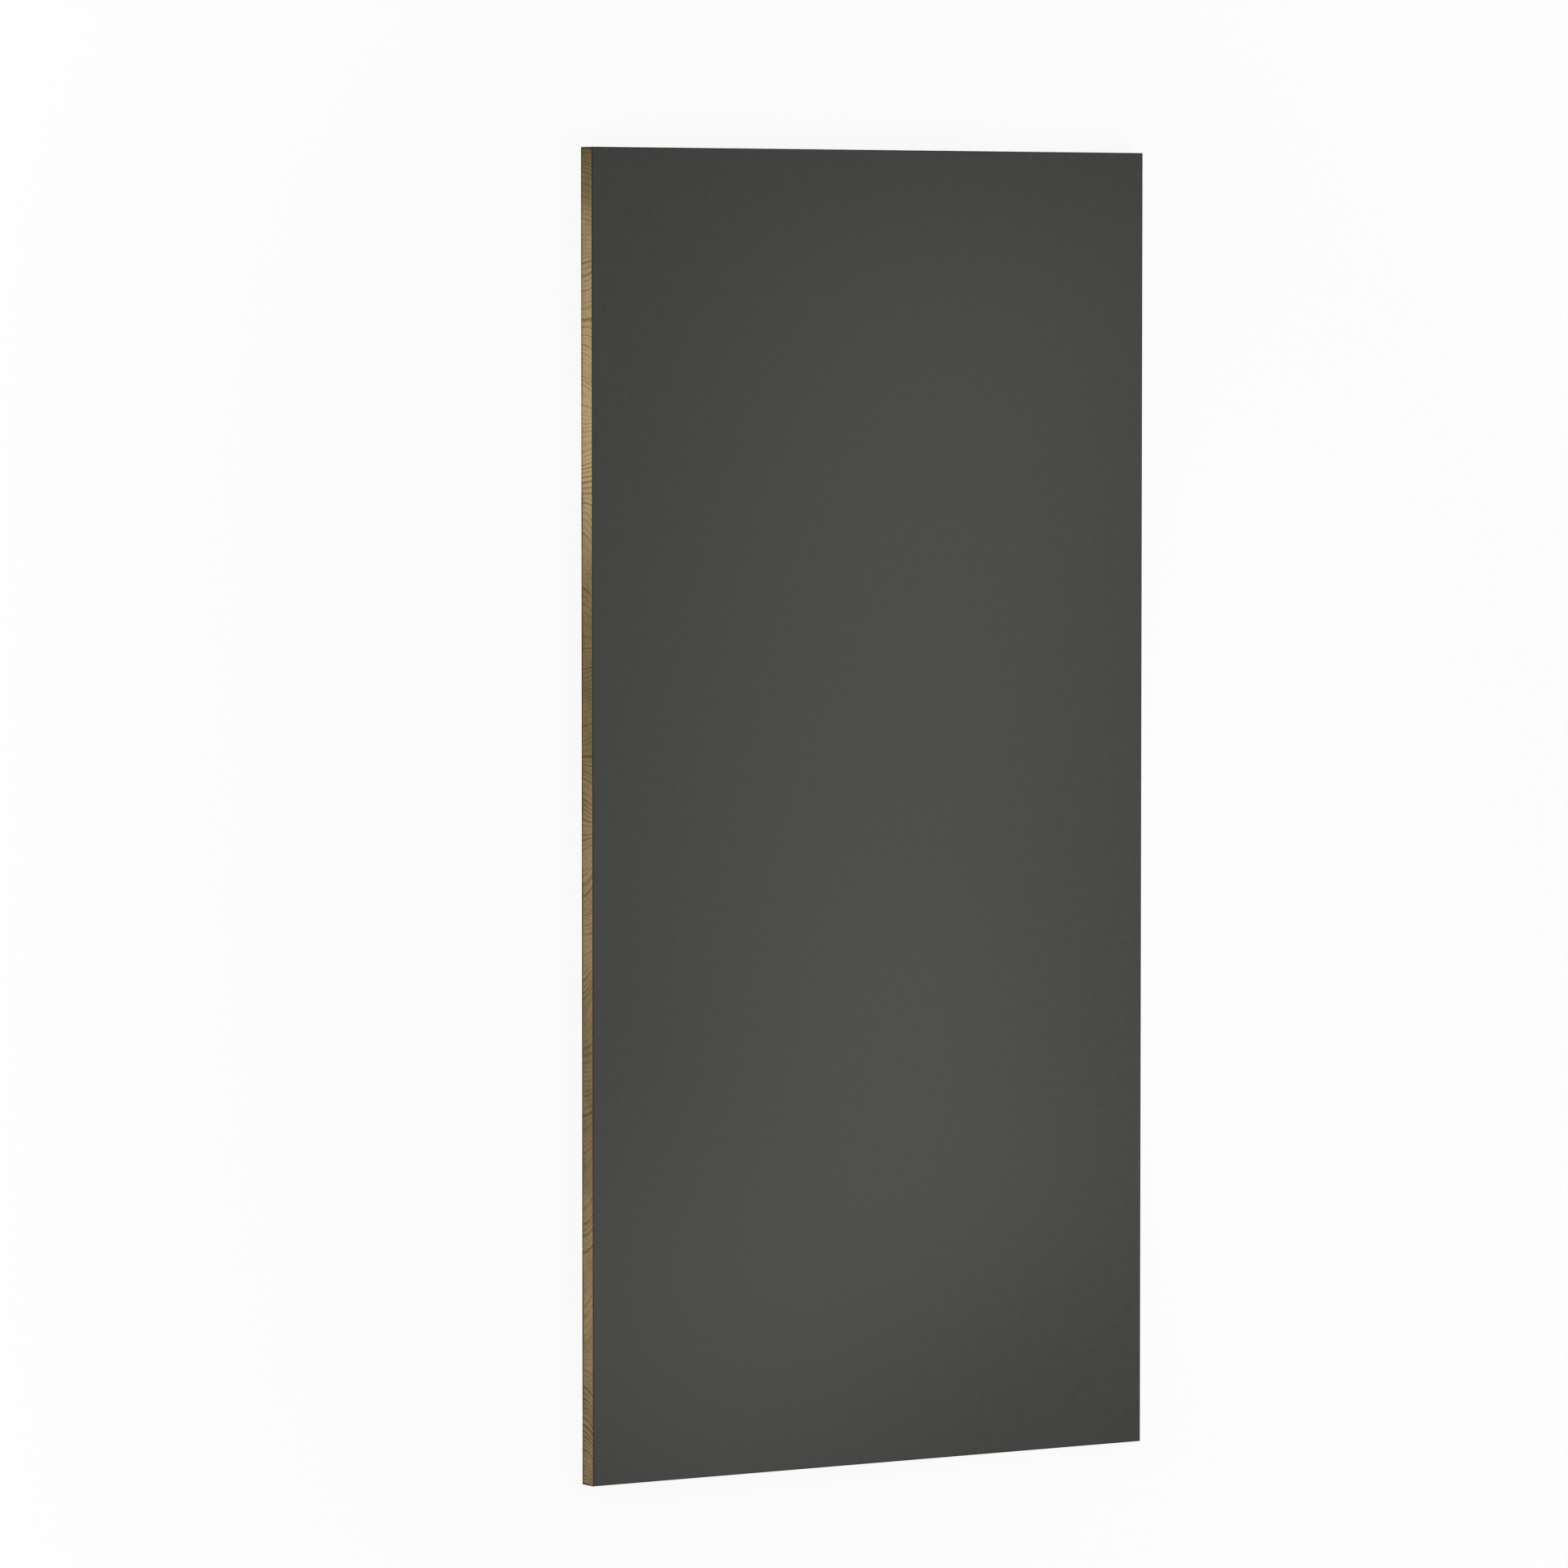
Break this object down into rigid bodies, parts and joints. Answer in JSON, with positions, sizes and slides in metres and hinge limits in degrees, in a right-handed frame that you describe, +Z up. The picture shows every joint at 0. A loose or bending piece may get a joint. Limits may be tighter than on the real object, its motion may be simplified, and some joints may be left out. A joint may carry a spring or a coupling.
{
  "type": "decorative laminate sheet",
  "caption": "Flat rectangular panel: a plain matte charcoal laminate bonded to one face of a solid wood core and trimmed flush, with bare sawn wood edges and back.",
  "frame": {"origin": "middle of the back face, on the floor that the sheet lies on", "axes": "+X across the width, +Y along the length, +Z up through the thickness and out of the decor face"},
  "size_m": [1.2192, 2.4384, 0.038],
  "materials": {
    "bare_wood": "matte",
    "charcoal_laminate": "matte"
  },
  "bodies": {
    "root": {"wood_core": "bare_wood", "decorative_laminate": "charcoal_laminate"}
  },
  "joints": []
}
